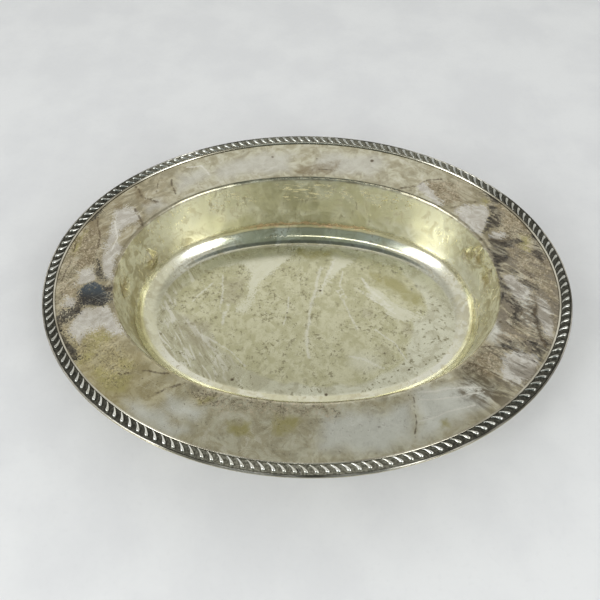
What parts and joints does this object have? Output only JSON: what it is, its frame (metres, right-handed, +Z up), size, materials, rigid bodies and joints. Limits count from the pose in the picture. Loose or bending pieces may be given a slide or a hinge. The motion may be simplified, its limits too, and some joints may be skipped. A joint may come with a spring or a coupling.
{
  "type": "oval serving dish",
  "caption": "Open oval serving dish with a deep flat-floored well, a wide flange and a leaning gadroon border soldered round its rim.",
  "frame": {"origin": "middle of the flat underside that the dish stands on", "axes": "+X along the length of the oval, +Y across its width, +Z up"},
  "size_m": [0.305, 0.2406, 0.0444],
  "materials": {
    "dish_plate": "worn, yellowed silver plate with brown tarnish",
    "border_plate": "polished silver plate, oxidised dark between the lobes",
    "solder": "dull grey soft solder",
    "wire_plate": "polished silver plate"
  },
  "bodies": {
    "root": {"dish_body": "dish_plate", "gadroon_border_left": "border_plate", "gadroon_border_right": "border_plate", "join_solder_front": "solder", "join_solder_back": "solder", "bead_wire": "wire_plate", "edge_wire": "wire_plate"}
  },
  "joints": []
}
